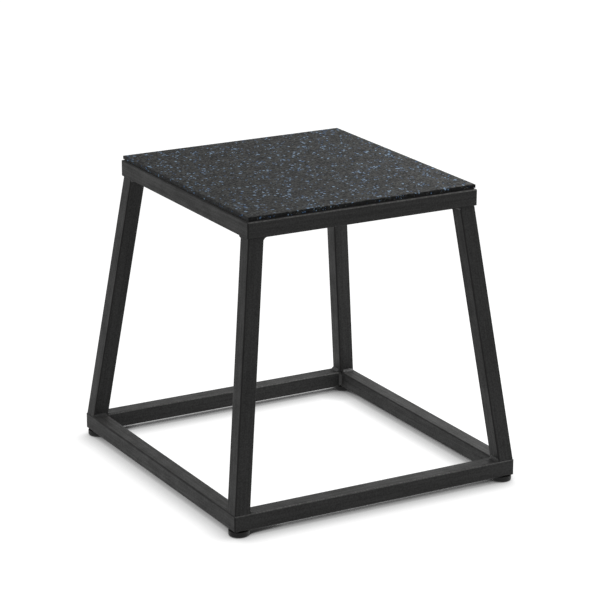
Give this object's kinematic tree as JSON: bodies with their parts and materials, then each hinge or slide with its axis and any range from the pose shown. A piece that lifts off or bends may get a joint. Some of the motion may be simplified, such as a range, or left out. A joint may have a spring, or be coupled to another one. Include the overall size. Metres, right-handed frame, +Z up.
{
  "type": "plyo box",
  "caption": "Open-framed plyo box for jump training: leaning square-tube steel legs join a base frame to a smaller top frame that carries a flecked rubber landing mat; round rubber feet.",
  "frame": {"origin": "on the floor, under the middle of the box", "axes": "+Z up; the front side looks along -Y and the left side along -X; the longer plan side runs along Y"},
  "size_m": [0.63, 0.66, 0.6],
  "materials": {
    "frame_coat": "fine-texture black powder coat",
    "weld_coat": "black powder coat over weld beads",
    "flecked_rubber": "charcoal crumb rubber with blue and pale flecks",
    "foot_rubber": "moulded black rubber",
    "zinc_steel": "zinc plated"
  },
  "bodies": {
    "root": {"base_rail_front": "frame_coat", "base_rail_back": "frame_coat", "base_rail_left": "frame_coat", "base_rail_right": "frame_coat", "top_rail_front": "frame_coat", "top_rail_back": "frame_coat", "top_rail_left": "frame_coat", "top_rail_right": "frame_coat", "leg_front_left": "frame_coat", "leg_front_right": "frame_coat", "leg_back_left": "frame_coat", "leg_back_right": "frame_coat", "deck_plate": "frame_coat", "deck_bar": "frame_coat", "leg_base_welds": "weld_coat", "leg_head_welds": "weld_coat", "base_corner_welds": "weld_coat", "top_corner_welds": "weld_coat", "deck_bar_welds": "weld_coat", "deck_welds": "weld_coat", "foot_front_left": "foot_rubber", "foot_front_right": "foot_rubber", "foot_back_left": "foot_rubber", "foot_back_right": "foot_rubber", "foot_washers": "zinc_steel", "foot_screws": "zinc_steel", "foot_inserts": "zinc_steel", "rubber_top": "flecked_rubber"}
  },
  "joints": []
}
